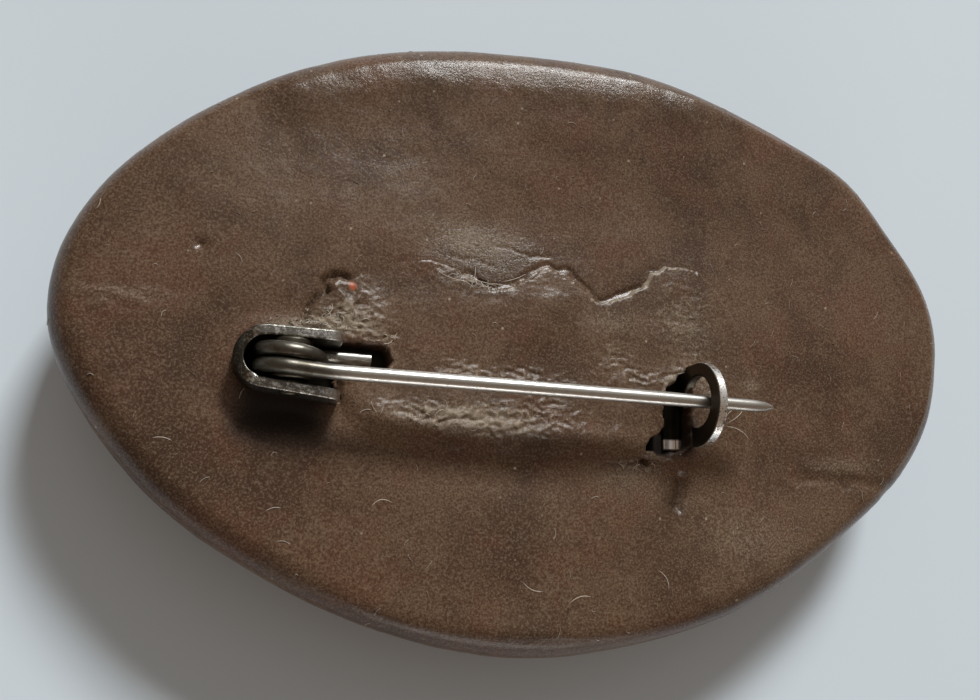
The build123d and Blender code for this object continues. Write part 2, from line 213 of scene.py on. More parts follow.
class BroochClay(bpy.types.PropertyGroup):
    back_round: length("Back rounding", "Rounding of the slab's rim at the back", 2.2)
    front_round: length("Front rounding", "Rounding of the slab's rim at the front", 1.8)
    slab_steps: count(
        "Slab steps", "Steps of the slab's mesh from its middle to its rim, a multiple of three", 144
    )
    cover_cell: length("Cover cell", "Size of a cell of the cover's mesh", 0.105)
    cover_thick: length("Cover thickness", "Thickness of the clay pressed over the bar", 0.32)
    ragged: length("Torn edge", "How far the cover's torn edge wanders", 0.06)
    seed: count("Seed", "Seed of the hand-pressed relief", 7)
    brown: colour("Brown", "Colour of the clay", (0.117, 0.068, 0.041))
    dark: colour("Dark brown", "Colour of the clay's darker clouds", (0.054, 0.028, 0.017))
    red: colour("Reddish brown", "Colour of the clay's reddish clouds", (0.112, 0.045, 0.027))
    # Pale brown of the clay's lighter specks, also laid on crinkles and sheen spots as painted sheen.
    sheen: colour("Worn brown", "Colour of the clay's worn specks", (0.19, 0.142, 0.096))
    speck: colour("Speck", "Colour of the speck of another clay", (0.36, 0.09, 0.04))
    # Painted shade: this dark colour stands for the shade in the clay's hollows, its slot and under the
    # hinge.
    painted_shade: colour("Soot", "Colour of the dirt in the clay's hollows", (0.008, 0.006, 0.005))
    dry: colour("Dry edge", "Colour of torn and crumbled clay", (0.3, 0.245, 0.18))


class BroochSteel(bpy.types.PropertyGroup):
    edge: length("Edge rounding", "Rounding of the sheet's edges", 0.1)
    bright: colour("Nickel", "Colour of the clean plating", (0.66, 0.645, 0.61))
    # Dark tarnish; also laid as painted shade on the coil and rivet, on the sheet near the clay and on the
    # catch's plate.
    tarnish_and_shade: colour("Tarnish", "Colour of the plating in the hinge and near the clay", (0.085, 0.077, 0.06))
    # Painted shade: the black laid on the bar low in the slot and hollow; it also darkens the bracket's
    # closed end.
    painted_shade: colour("Soot", "Colour of the dirt on the bar and round the coil", (0.014, 0.012, 0.009))
    # Painted highlight: the colour of a glint on the catch's foot and on its ring.
    painted_glint: colour("Facet", "Colour of the clean spot beside the catch", (0.95, 0.93, 0.9))


class BroochFlower(bpy.types.PropertyGroup):
    petal_steps: count(
        "Petal steps", "Steps of a petal's mesh from its middle to its rim, a multiple of three", 45
    )
    petal: colour("Petals", "Colour of the petals", (0.32, 0.075, 0.035))
    petal_foot: colour("Petal feet", "Colour of the petals near the middle", (0.13, 0.03, 0.02))
    centre: colour("Centre", "Colour of the flower's centre", (0.11, 0.045, 0.022))
    bead: length("Bead", "Radius of a bead on the centre", 0.42)
    bead_gap: length("Bead spacing", "Least distance between two beads", 0.86)
    seed: count("Seed", "Seed of the beads' places", 3)


class BroochLint(bpy.types.PropertyGroup):
    fibres: bpy.props.FloatProperty(
        name="Fibres", description="Fibres on a square centimetre of clay", default=6.5, min=0.0
    )
    frayed: bpy.props.FloatProperty(
        name="Frayed", description="Fibres on a square centimetre of frayed clay", default=1200.0, min=0.0
    )
    fibre_long: length("Fibre length", "Length of a fibre from end to end", 1.1)
    fibre_r: length("Fibre radius", "Radius of a fibre", 0.018)
    seed: count("Seed", "Seed of the fibres' places", 11)
    pale: colour("Fibre", "Colour of the fibres", (0.72, 0.66, 0.57))


class BroochStage(bpy.types.PropertyGroup):
    floor: colour("Floor", "Colour of the floor", (0.62, 0.70, 0.77))
    dim: colour("Dim room", "Light from the room", (0.2, 0.146, 0.108))
    glow: colour("Glow", "Light from the room around the window", (0.38, 0.37, 0.35))
    lens: bpy.props.FloatProperty(
        name="Lens", description="Focal length in millimetres on a sensor 36 mm wide", default=31.2245
    )
    place: bpy.props.FloatVectorProperty(
        name="Camera", description="Place of the camera", default=(-0.02016, -0.01351, 0.05821), size=3,
        precision=5, subtype="TRANSLATION",
    )
    turn: bpy.props.FloatVectorProperty(
        name="Camera turn", description="Turn of the camera",
        default=(math.radians(12.14), math.radians(-16.96), math.radians(1.59)), size=3, subtype="EULER",
    )


class Signal:
    """A socket's value. Using it in an expression adds Math nodes to its tree."""

    def __init__(self, graph, socket):
        self.graph = graph
        self.socket = socket

    def sum(self, operation, first, second):
        return self.graph.add("ShaderNodeMath", {"operation": operation}, {0: first, 1: second})

    def __add__(self, other):
        return self.sum("ADD", self, other)

    def __radd__(self, other):
        return self.sum("ADD", other, self)

    def __sub__(self, other):
        return self.sum("SUBTRACT", self, other)

    def __rsub__(self, other):
        return self.sum("SUBTRACT", other, self)

    def __mul__(self, other):
        return self.sum("MULTIPLY", self, other)

    def __rmul__(self, other):
        return self.sum("MULTIPLY", other, self)

    def __pow__(self, other):
        return self.sum("POWER", self, other)

    def __abs__(self):
        return self.graph.add("ShaderNodeMath", {"operation": "ABSOLUTE"}, {0: self})


class Graph:
    """One node tree, and the one way of adding a node to it."""

    def __init__(self, tree):
        self.tree = tree
        tree.nodes.clear()

    def pick(self, sockets, key):
        if isinstance(key, int):
            return sockets[key]
        return next(socket for socket in sockets if socket.name == key and socket.enabled)

    def add(self, kind, settings=None, values=None, output=0):
        """Adds a node, sets its settings, then its sockets, and returns one of its outputs."""
        node = self.tree.nodes.new(kind)
        for name, value in (settings or {}).items():
            if name == "stops":
                ramp = node.color_ramp
                while len(ramp.elements) < len(value):
                    ramp.elements.new(1.0)
                for element, (position, shade) in zip(ramp.elements, value):
                    element.position = position
                    element.color = (*shade, 1.0)
            else:
                setattr(node, name, value)
        for key, value in (values or {}).items():
            socket = self.pick(node.inputs, key)
            if isinstance(value, Signal):
                self.tree.links.new(value.socket, socket)
            else:
                socket.default_value = value
        if not node.outputs:
            return None
        return Signal(self, self.pick(node.outputs, output))

    def ramp(self, signal, low, high):
        """0 below low, 1 above high, and smooth between."""
        return self.add(
            "ShaderNodeMapRange", {"interpolation_type": "SMOOTHSTEP"},
            {"Value": signal, "From Min": low, "From Max": high, "To Min": 0.0, "To Max": 1.0},
        )

    def blend(self, factor, first, second):
        """Mix of two colours."""
        shades = [shade if isinstance(shade, Signal) else (*shade, 1.0) for shade in (first, second)]
        return self.add("ShaderNodeMix", {"data_type": "RGBA"}, {
            "Factor": factor, "A": shades[0], "B": shades[1],
        }, "Result")

    def rise(self, signal, low, high):
        """A ramp between two lengths in millimetres."""
        return self.ramp(signal, low * MM, high * MM)

    def noise(self, place, size, detail, rough=0.5, twist=0.0):
        """Noise with forms of about the given size in millimetres."""
        return self.add("ShaderNodeTexNoise", None, {
            "Vector": place, "Scale": 1 / (size * MM), "Detail": detail, "Roughness": rough,
            "Distortion": twist,
        })

    def pebbles(self, place, size, smooth):
        """Soft cells of about the given size in millimetres."""
        return self.add("ShaderNodeTexVoronoi", {"feature": "SMOOTH_F1"}, {
            "Vector": place, "Scale": 1 / (size * MM), "Smoothness": smooth,
        })

    def bump(self, strength, depth, height):
        """Normals bent by a height, for a depth in millimetres."""
        return self.add("ShaderNodeBump", None, {
            "Strength": strength, "Distance": depth * MM, "Height": height,
        }, "Normal")


def new_finish(name):
    """A material with an empty tree, and its graph with the object's coordinates."""
    material = bpy.data.materials.new(name)
    material.use_nodes = True
    graph = Graph(material.node_tree)
    return material, graph, graph.add("ShaderNodeTexCoord", None, None, "Object")


def end_finish(graph, values):
    """Ends a finish with a surface that has the given sockets."""
    bsdf = graph.add("ShaderNodeBsdfPrincipled", None, values)
    graph.add("ShaderNodeOutputMaterial", None, {"Surface": bsdf})


def clay_finish(look):
    """Hand-pressed clay: clouded brown, satin, pebbled and crinkled, paler where it is torn and scuffed,
    with painted sheen on crinkles and bright spots and painted shade in its hollows.
    """
    material, graph, place = new_finish("pressed_clay")
    torn, crinkled, sooty = (
        graph.add("ShaderNodeAttribute", {"attribute_name": name}, None, "Fac")
        for name in ("torn", "crinkled", "sooty")
    )
    broad = graph.noise(place, 7.0, 5.0, 0.65, 0.3)
    ruddy = graph.noise(place, 4.6, 3.0, 0.6, 0.3)
    grain = graph.noise(place, 0.14, 3.0, 0.8, 0.2)
    shade = graph.blend(graph.ramp(broad, 0.34, 0.6), look.dark, look.brown)
    shade = graph.blend(graph.ramp(ruddy, 0.46, 0.7) * 0.6, shade, look.red)
    shade = graph.blend(graph.ramp(grain, 0.48, 0.64) * 0.65, shade, look.sheen)
    shade = graph.blend(graph.ramp(1 - grain, 0.48, 0.64) * 0.85, shade, look.dark)
    # Paler where torn and scuffed; on the crinkles and the sheen spots this pale, and the crumbs below, are
    # painted sheen.
    shade = graph.blend(torn * 0.3 + crinkled * 0.15, shade, look.sheen)
    crumbs = graph.ramp(grain * 0.9 + torn * 0.7 + crinkled * 0.2, 0.62, 1.1)
    shade = graph.blend(crumbs * 0.8, shade, look.dry)
    dust = graph.add("ShaderNodeTexVoronoi", None, {"Vector": place, "Scale": 1 / (1.3 * MM)})
    chosen = Signal(graph, dust.socket.node.outputs["Color"])
    shade = graph.blend((1 - graph.ramp(dust, 0.05, 0.09)) * graph.ramp(chosen, 0.5, 0.7), shade, look.dry)
    away = graph.add("ShaderNodeVectorMath", {"operation": "DISTANCE"}, {
        0: place, 1: (SPECK[0] * MM, SPECK[1] * MM, BACK * MM),
    }, "Value")
    shade = graph.blend(1 - graph.ramp(away + grain * (0.2 * MM), 0.35 * MM, 0.5 * MM), shade, look.speck)
    # Painted shade: darkens the clay where the shade mask is set, in the hollows, the slot and under the
    # hinge.
    shade = graph.blend(sooty * 0.95, shade, look.painted_shade)
    streaks = graph.add("ShaderNodeMapping", None, {
        "Vector": place, "Rotation": (0.0, 0.0, math.radians(-25)), "Scale": (1.0, 2.6, 1.0),
    })
    fold = 1 - abs(graph.noise(streaks, 0.6, 3.0, 0.65, 0.8) - 0.5) * 6
    pebble = graph.pebbles(place, 0.26, 0.5)
    height = (pebble * -0.4 + grain * 0.8) * (0.7 + crinkled) + fold * (0.04 + crinkled * 0.35)
    end_finish(graph, {
        "Base Color": shade, "Roughness": 0.16 + broad * 0.08 + torn * 0.25 + grain * 0.08 + sooty * 0.6,
        "Normal": graph.bump(0.6, 0.04, height), "Specular IOR Level": 0.27,
    })
    return material


def steel_finish(name, look, sheet, worn):
    """Nickel-plated steel: scratched and bright above, tarnished in the hinge; painted shade on the coil,
    the rivet, the sheet near the clay and the catch's plate; painted highlights on the catch's ring and
    foot.
    """
    material, graph, place = new_finish(name)
    x = graph.add("ShaderNodeSeparateXYZ", None, {"Vector": place}, "X")
    y, z = (Signal(graph, x.socket.node.outputs[part]) for part in "YZ")
    cloud = graph.noise(place, 0.8, 3.0, 0.65, 0.5)
    pits = graph.noise(place, 0.18, 3.0, 0.75)
    along = graph.add("ShaderNodeMapping", None, {"Vector": place, "Scale": (0.12, 1.0, 1.0)})
    lines = graph.noise(along, 0.11, 3.0, 0.7)
    spots = graph.ramp(pits, 0.58, 0.76)
    # Darker in the hinge, as much as the last argument gives: painted shade on the coil and rivet, tarnish
    # patches on the ears.
    hinge = 1 - graph.rise(x + cloud * (1.4 * MM), HINGE[0] + 2.2, HINGE[0] + 4.4)
    if sheet:
        # Painted shade: the sheet low down near the clay is darkened.
        low = 1 - graph.rise(z + cloud * (0.6 * MM), 8.3, 9.3)
        ring = graph.rise(x, CATCH_FACE + 0.02, CATCH_FACE + 0.07)
        grime_and_shade = hinge * (worn + graph.ramp(pits + cloud * 0.6, 0.62, 0.86) * 0.6)
        grime_and_shade = grime_and_shade + low * (1 - ring) * (0.9 - grime_and_shade)
        grime_and_shade = grime_and_shade + ring * graph.ramp(pits + cloud * 0.4, 0.68, 0.84) * 0.8
        # Painted shade on the catch's plate: on its face towards the hinge and round the inside of its ring.
        away = ((y - (HINGE[1] + 0.2) * MM) ** 2 + (z - RING_LEVEL * MM) ** 2) ** 0.5
        inner = (1 - graph.rise(away, 2.2, 2.4)) * graph.rise(x, CATCH_FACE - 1.0, CATCH_FACE)
        plate = graph.rise(x, CATCH_FACE - 3.0, CATCH_FACE - 2.2) * (1 - ring)
        plate = graph.ramp(plate + inner, 0.0, 1.0)
        # Painted highlight: a bright spot on the catch's foot beside the mouth.
        painted_glint = 1 - graph.rise(y, HINGE[1] - 2.2, HINGE[1] - 2.0)
        painted_glint = painted_glint * (1 - graph.rise(z, 7.1, 7.3))
        # The bracket's closed end is darkened.
        heel = 1 - graph.rise(x, HINGE[0] - 3.0, HINGE[0] - 2.0)
        grime_and_shade = grime_and_shade + plate * 0.9 + heel * (0.35 + graph.ramp(pits, 0.35, 0.6) * 0.4)
        grime_and_shade = graph.ramp(grime_and_shade, 0.0, 1.0) * (1 - painted_glint)
        # Painted highlight: the catch's ring is brightened towards the glint colour.
        clean = graph.blend(ring * 0.8, look.bright, look.painted_glint)
    else:
        # The wire's tail, low in its slot, is darker.
        tail = (1 - graph.rise(z, 7.9, 8.3)) * 0.45
        grime_and_shade = 0.1 + hinge * (worn - 0.1) + tail * (1 - hinge) + graph.ramp(cloud, 0.5, 0.75) * 0.25
        clean = look.bright
    shade = graph.blend(grime_and_shade, clean, look.tarnish_and_shade)
    shade = graph.blend(spots * 0.55, shade, look.tarnish_and_shade)
    if sheet:
        # Painted shade: black on the bar low in the slot and hollow, and on the bracket's closed end.
        shade = graph.blend((1 - graph.rise(z, 7.2, 7.8)) * (1 - painted_glint), shade, look.painted_shade)
        shade = graph.blend(heel * (1 - graph.ramp(pits, 0.5, 0.66)) * 0.8, shade, look.painted_shade)
        shade = graph.blend(painted_glint, shade, look.painted_glint)
    end_finish(graph, {
        "Base Color": shade, "Metallic": 1.0, "Roughness": 0.22 + cloud * 0.12 + grime_and_shade * 0.12 + spots * 0.15,
        "Normal": graph.bump(0.5, 0.012, lines + pits * 0.8),
    })
    return material


def petal_finish(name, tip, foot, reach):
    """Painted clay, darker towards the flower's middle."""
    material, graph, place = new_finish(name)
    flat = graph.add("ShaderNodeMapping", None, {"Vector": place, "Scale": (1.0, 1.0, 0.0)})
    away = graph.add("ShaderNodeVectorMath", {"operation": "LENGTH"}, {0: flat}, "Value")
    cloud = graph.noise(place, 2.4, 4.0, 0.6, 0.4)
    grain = graph.noise(place, 0.4, 4.0, 0.6)
    shade = graph.blend(graph.ramp(away + cloud * (3.0 * MM), reach * 0.42, reach * 0.85), foot, tip)
    shade = graph.blend(graph.ramp(grain, 0.55, 0.8) * 0.3, shade, foot)
    height = grain * 0.6 - graph.pebbles(place, 0.42, 0.7) * 0.5
    end_finish(graph, {
        "Base Color": shade, "Roughness": 0.38 + grain * 0.2, "Normal": graph.bump(0.6, 0.05, height),
        "Specular IOR Level": 0.45,
    })
    return material


def fibre_finish(look):
    material, graph, place = new_finish("pale_lint")
    tint = graph.noise(place, 1.5, 2.0)
    shade = graph.blend(tint, look.pale, tuple(part * 0.55 for part in look.pale))
    end_finish(graph, {"Base Color": shade, "Roughness": 0.6 + tint * 0.2})
    return material


def floor_finish(look):
    material, graph, place = new_finish("pale_floor")
    cloud = graph.noise(place, 60.0, 3.0)
    shade = graph.blend(cloud, look.floor, tuple(part * 0.97 for part in look.floor))
    end_finish(graph, {"Base Color": shade, "Roughness": 0.8 + cloud * 0.1, "Specular IOR Level": 0.15})
    return material


def waves(points, size, seed, number=36):
    """A smooth random field over points in space, about one high, with forms of about the given size."""
    rng = np.random.default_rng(seed)
    way = rng.normal(size=(number, 3))
    way *= (2 * math.pi / size / rng.uniform(0.7, 1.6, number) / np.linalg.norm(way, axis=1))[:, None]
    start = rng.uniform(0, 2 * math.pi, number)
    total = np.zeros(len(points))
    for step, phase in zip(way, start):
        total += np.cos(points @ step + phase)
    return total * math.sqrt(2 / number)


def ease(value):
    value = np.clip(value, 0, 1)
    return value * value * (3 - 2 * value)


def closed(path):
    path = np.array(path, float)
    return np.vstack([path, path[:1]])


def softened(ring, rounds=2):
    """A closed line with its corners cut, whatever its columns hold."""
    for _ in range(rounds):
        first, second = ring[:-1], ring[1:]
        cut = np.stack([first * 0.75 + second * 0.25, first * 0.25 + second * 0.75], 1)
        ring = closed(cut.reshape(-1, ring.shape[1]))
    return ring


def nearest(points, path):
    """Distance from each point to a line, and the place along the line, counted in its points."""
    best = np.full(len(points), np.inf)
    place = np.zeros(len(points))
    for number, (first, second) in enumerate(zip(path[:-1], path[1:])):
        step = second - first
        along = np.clip((points - first) @ step / (step @ step), 0, 1)
        far = np.hypot(*(points - first - along[:, None] * step).T)
        near = far < best
        best[near] = far[near]
        place[near] = number + along[near]
    return best, place


def within(points, ring):
    """Which points lie inside a closed line."""
    x, y = points.T
    odd = np.zeros(len(points), bool)
    for first, second in zip(ring[:-1], ring[1:]):
        if first[1] != second[1]:
            crossing = (first[1] > y) != (second[1] > y)
            run, rise = second - first
            odd ^= crossing & (x < first[0] + (y - first[1]) * run / rise)
    return odd


def depth_in(points, ring):
    """Distance inside a closed line, less than nothing outside, and the nearest place along the line."""
    far, place = nearest(points, ring)
    return np.where(within(points, ring), far, -far), place


def clay_relief(points, seed):
    """Height of the hand-pressed clay over its plain form."""
    return (
        0.09 * waves(points, 15.0, seed) + 0.025 * waves(points, 5.5, seed + 1)
        + 0.006 * waves(points, 2.0, seed + 2) + 0.003 * waves(points, 0.8, seed + 3)
    )


def clay_marks(flat):
    """Height of the creases and dents, by place on the back."""
    total = np.zeros(len(flat))
    level = np.column_stack([flat, np.zeros(len(flat))])
    wander = 0.1 * np.column_stack([waves(level, 1.3, 80), waves(level, 1.3, 81)])
    for crease in CREASES:
        far, _ = nearest(flat + wander, np.array(crease.path))
        total += crease.height * np.exp(-((far / crease.width) ** 2))
    for dent in DENTS:
        turn = math.radians(dent.turn)
        x, y = (flat - (dent.x, dent.y)).T
        along = (x * math.cos(turn) + y * math.sin(turn)) / dent.long
        across = (y * math.cos(turn) - x * math.sin(turn)) / dent.wide
        total -= dent.depth * np.exp(-(along**2) - across**2)
    return total


def spotted(flat, spots):
    """How much of the spots there is at each place on the back."""
    total = np.zeros(len(flat))
    for spot in spots:
        x, y = (flat - (spot.x, spot.y)).T
        total += spot.amount * np.exp(-((x / spot.long) ** 2) - (y / spot.wide) ** 2)
    return np.clip(total, 0, 1)


def disc(steps):
    """Triangles of a disc of rings, with six more points on each ring: share of the radius, angle, faces."""
    shares, angles, faces = [np.zeros(1)], [np.zeros(1)], []
    start, inner_start = 1, 0
    for ring in range(1, steps + 1):
        number = np.arange(6 * ring)
        shares.append(np.full(6 * ring, ring / steps))
        angles.append(number * 2 * math.pi / (6 * ring))
        sector, place = np.divmod(number, ring)
        outer = start + number
        after = start + (number + 1) % (6 * ring)
        inner_count = max(6 * (ring - 1), 1)
        inner = inner_start + (sector * (ring - 1) + place) % inner_count
        faces.append(np.stack([outer, after, inner], 1))
        if ring > 1:
            inside = place < ring - 1
            beyond = inner_start + (sector * (ring - 1) + place + 1) % inner_count
            faces.append(np.stack([inner, after, beyond], 1)[inside])
        inner_start = start
        start += 6 * ring
    return np.concatenate(shares), np.concatenate(angles), np.concatenate(faces)


def closed_disc(steps, rim):
    """A closed body over a disc: fine face, rim rings, and a face with a third of the steps.

    rim lists for each ring its inset from the outline, its level and the tilt of its outward direction.
    Returns share, angle, inset, level and tilt of every point, and the triangles.
    """

    def columns(shares, angles, ring):
        return (shares, angles, *(np.full(len(shares), value) for value in ring))

    share_a, angle_a, faces = disc(steps)
    share_b, angle_b, faces_b = disc(steps // 3)
    edge = 6 * steps
    turn = angle_a[-edge:]
    parts = [columns(share_a, angle_a, rim[0])]
    before = len(share_a) - edge
    total = len(share_a)
    number = np.arange(edge)
    after = (number + 1) % edge
    faces = [faces]
    for ring in rim[1:]:
        parts.append(columns(np.ones(edge), turn, ring))
        faces.append(np.stack([before + number, total + number, total + after], 1))
        faces.append(np.stack([before + number, total + after, before + after], 1))
        before = total
        total += edge
    inset, level, tilt = rim[-1]
    parts.append(columns(share_b, angle_b, (inset + 0.25, level, tilt)))
    faces.append(faces_b[:, ::-1] + total)
    coarse = np.arange(edge // 3)
    low = total + len(share_b) - edge // 3
    fine = [before + (3 * coarse + k) % edge for k in range(4)]
    first, second = low + coarse, low + (coarse + 1) % (edge // 3)
    for corners in (
        (fine[0], first, fine[1]), (fine[1], first, fine[2]),
        (fine[2], first, second), (fine[2], second, fine[3]),
    ):
        faces.append(np.stack(corners, 1))
    return [np.concatenate(column) for column in zip(*parts)], np.concatenate(faces)


def outline(node, level, middle=(0.0, 0.0), number=720):
    """Radius of a CAD node's outline at a level, by angle about a middle, in millimetres."""
    mesh = frame["nodes"][node].data
    tree = BVHTree.FromPolygons([v.co for v in mesh.vertices], [p.vertices for p in mesh.polygons])
    angles = np.linspace(0, 2 * math.pi, number + 1)
    centre = Vector((*middle, level)) * MM
    radii = []
    for angle in angles:
        away = Vector((math.cos(angle), math.sin(angle), 0.0))
        hit = tree.ray_cast(centre + away * 0.1, -away)[0]
        radii.append((hit - centre).length / MM)
    return lambda angle: np.interp(np.mod(angle, 2 * math.pi), angles, radii)


def make_piece(name, points, faces, finish, body, nodes=()):
    """A mesh from millimetres, smooth, with its finish, riding on its body."""
    mesh = bpy.data.meshes.new(name)
    mesh.from_pydata((np.asarray(points) * MM).tolist(), [], np.asarray(faces).tolist())
    mesh.shade_smooth()
    mesh.validate()
    piece = bpy.data.objects.new(name, mesh)
    bpy.context.scene.collection.objects.link(piece)
    place_piece(piece, finish, body, nodes)
    return piece


def place_piece(piece, finish, body, nodes=()):
    piece.data.materials.clear()
    piece.data.materials.append(finish)
    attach(piece, body)
    if nodes:
        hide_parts(*nodes)


def paint(piece, **values):
    """Writes one number a point for each name, for the finish to read."""
    for name, numbers in values.items():
        layer = piece.data.attributes.new(name, "FLOAT", "POINT")
        layer.data.foreach_set("value", np.asarray(numbers, np.float32))


def finding_room(flat):
    """Depth of places inside the finding's room and its hollow, and how far the pit sinks them."""
    room, _ = depth_in(flat, closed(ROOM))
    hollow, _ = depth_in(flat, softened(closed(HOLLOW)))
    x, y = flat.T
    pit = PIT_DEPTH * ease((hollow - 0.02) / 0.3)
    pit = pit * ease((PIT_CORNER[0] - x) / 0.25) * ease((PIT_CORNER[1] - y) / 0.4)
    return room, hollow, pit


def shell_faces(kept):
    """Quads over the kept cells of a grid, under them and round their edges.

    The points under the grid are numbered on from those over it.
    """
    cells = kept[:-1, :-1] & kept[1:, :-1] & kept[:-1, 1:] & kept[1:, 1:]
    index = np.arange(kept.size).reshape(kept.shape)
    corners = [index[:-1, :-1], index[:-1, 1:], index[1:, 1:], index[1:, :-1]]
    over = np.stack([corner[cells] for corner in corners], 1)
    faces = [over, over[:, ::-1] + kept.size]
    padded = np.pad(cells, 1)
    around = [padded[:-2, 1:-1], padded[1:-1, 2:], padded[2:, 1:-1], padded[1:-1, :-2]]
    for side, other in enumerate(around):
        edge = cells & ~other
        first, second = corners[side][edge], corners[(side + 1) % 4][edge]
        faces.append(np.stack([first + kept.size, second + kept.size, second, first], 1))
    return np.concatenate(faces)


class BROOCH_OT_clay_slab(bpy.types.Operator):
    """Makes the oval slab of clay with its relief, creases and the room for the finding"""

    bl_idname = "brooch.clay_slab"
    bl_label = "Clay slab"

    def execute(self, context):
        look = context.scene.brooch_clay
        back, front = look.back_round / MM, look.front_round / MM
        rim = [(back, BACK, 0.0)]
        for tilt in np.radians(np.linspace(0, 90, 13)[1:]):
            rim.append((back - back * math.sin(tilt), BACK - back + back * math.cos(tilt), tilt))
        side = BACK - back
        foot = FRONT + front
        rim += [(0.0, side + (foot - side) * part, math.pi / 2) for part in (0.33, 0.67, 1.0)]
        for tilt in np.radians(np.linspace(0, 90, 8)[1:]):
            rim.append((front - front * math.cos(tilt), foot - front * math.sin(tilt), math.pi / 2 + tilt))
        (part, angle, inset, level, tilt), faces = closed_disc(look.slab_steps, rim)
        reach = outline("clay_backing", (side + foot) / 2)(angle)
        radius = part * (reach - inset)
        way = np.stack([np.cos(angle), np.sin(angle)], 1)
        points = np.column_stack([way * radius[:, None], level])
        facing_up = np.clip(np.cos(tilt), 0, 1)
        relief = clay_relief(points, look.seed)
        flat = points[:, :2] - HINGE
        on_back = facing_up > 0.02
        lift = relief.copy()
        lift[on_back] += clay_marks(flat[on_back])
        crinkled = spotted(flat, ROUGH_SPOTS) * on_back
        # Pale scuffs, and painted sheen on the spots that face the light.
        torn = spotted(flat, SCUFF_AND_SHEEN_SPOTS) * on_back
        frayed = spotted(flat, FRAYED_SPOTS) * on_back
        sideways = np.sin(tilt)
        lift = np.where(sideways > 0.3, np.minimum(lift * 0.7 - 0.09 * sideways, 0.02), lift)
        lift = np.where(level < FRONT + 0.01, lift * 0.4, lift)
        points += np.column_stack([way * sideways[:, None], np.cos(tilt)]) * lift[:, None]
        room, hollow, pit = finding_room(flat)
        top = (tilt == 0) & (level > BACK - 0.01)
        swell = 0.14 * np.exp(-(((room + 0.75) / 0.6) ** 2)) * ease((2.6 - flat[:, 0]) / 0.8)
        sunk = np.maximum(ease(room / 0.24 + 0.5), ease((hollow + 0.3) / 0.3))
        lowered = points[:, 2] + swell + (GROOVE_LEVEL - points[:, 2]) * sunk - pit
        points[:, 2] = np.where(top, lowered, points[:, 2])
        piece = make_piece("clay_slab", points, faces, clay_finish(look), "brooch", ["clay_backing"])
        # Painted shadow of the hinge's lower ear, and painted shade in the finding's room and the catch's
        # hollow.
        x, y = (flat - (-0.3, -2.0)).T
        sooty = np.maximum(ease((hollow + 0.2) / 0.3), ease(room / 0.3 + 0.5))
        sooty = np.maximum(sooty, np.exp(-((x / 2.8) ** 6) - ((y / 1.8) ** 4))) * top
        paint(piece, torn=torn * 0.5, crinkled=crinkled, sooty=sooty, frayed=frayed)
        return {"FINISHED"}


